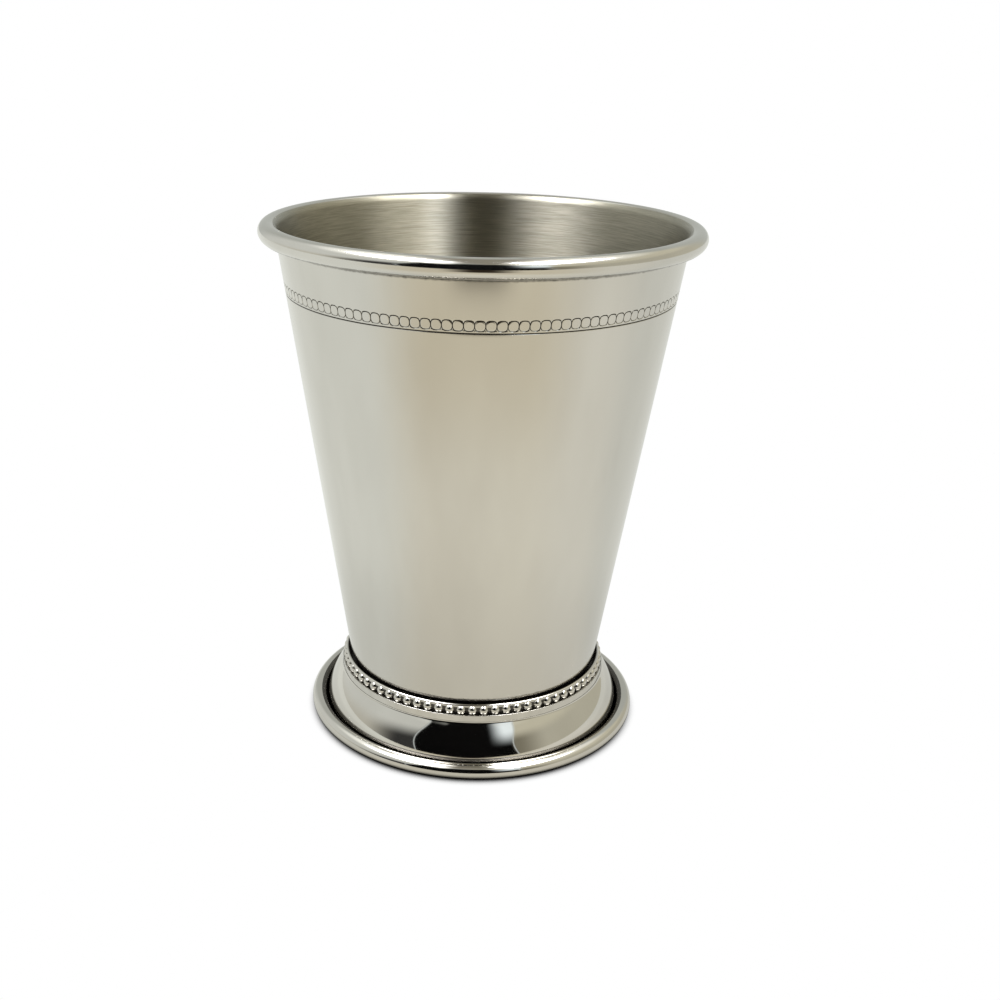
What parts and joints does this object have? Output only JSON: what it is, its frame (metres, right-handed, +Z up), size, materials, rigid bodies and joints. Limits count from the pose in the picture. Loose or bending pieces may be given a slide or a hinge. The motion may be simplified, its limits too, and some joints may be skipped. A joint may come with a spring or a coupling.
{
  "type": "julep cup",
  "caption": "Tapered metal julep cup with a rolled rim, a fine coined band below it, and a flared hollow foot edged with pearls, for serving cold mixed drinks.",
  "frame": {"origin": "centre of the flat ring that the foot stands on, at table height", "axes": "+Z up along the axis of the cup, from the foot to the mouth; X and Y are interchangeable"},
  "size_m": [0.089, 0.089, 0.1073],
  "materials": {
    "cup_steel": "polished stainless outside, fine turned lines inside",
    "foot_steel": "mirror polished stainless",
    "pearl_steel": "polished stainless, darker in the valleys between the pearls",
    "braze": "dull braze alloy, out of sight under the foot"
  },
  "bodies": {
    "root": {"cup_body": "cup_steel", "foot": "foot_steel", "pearl_ring": "pearl_steel", "braze_ring": "braze"}
  },
  "joints": []
}
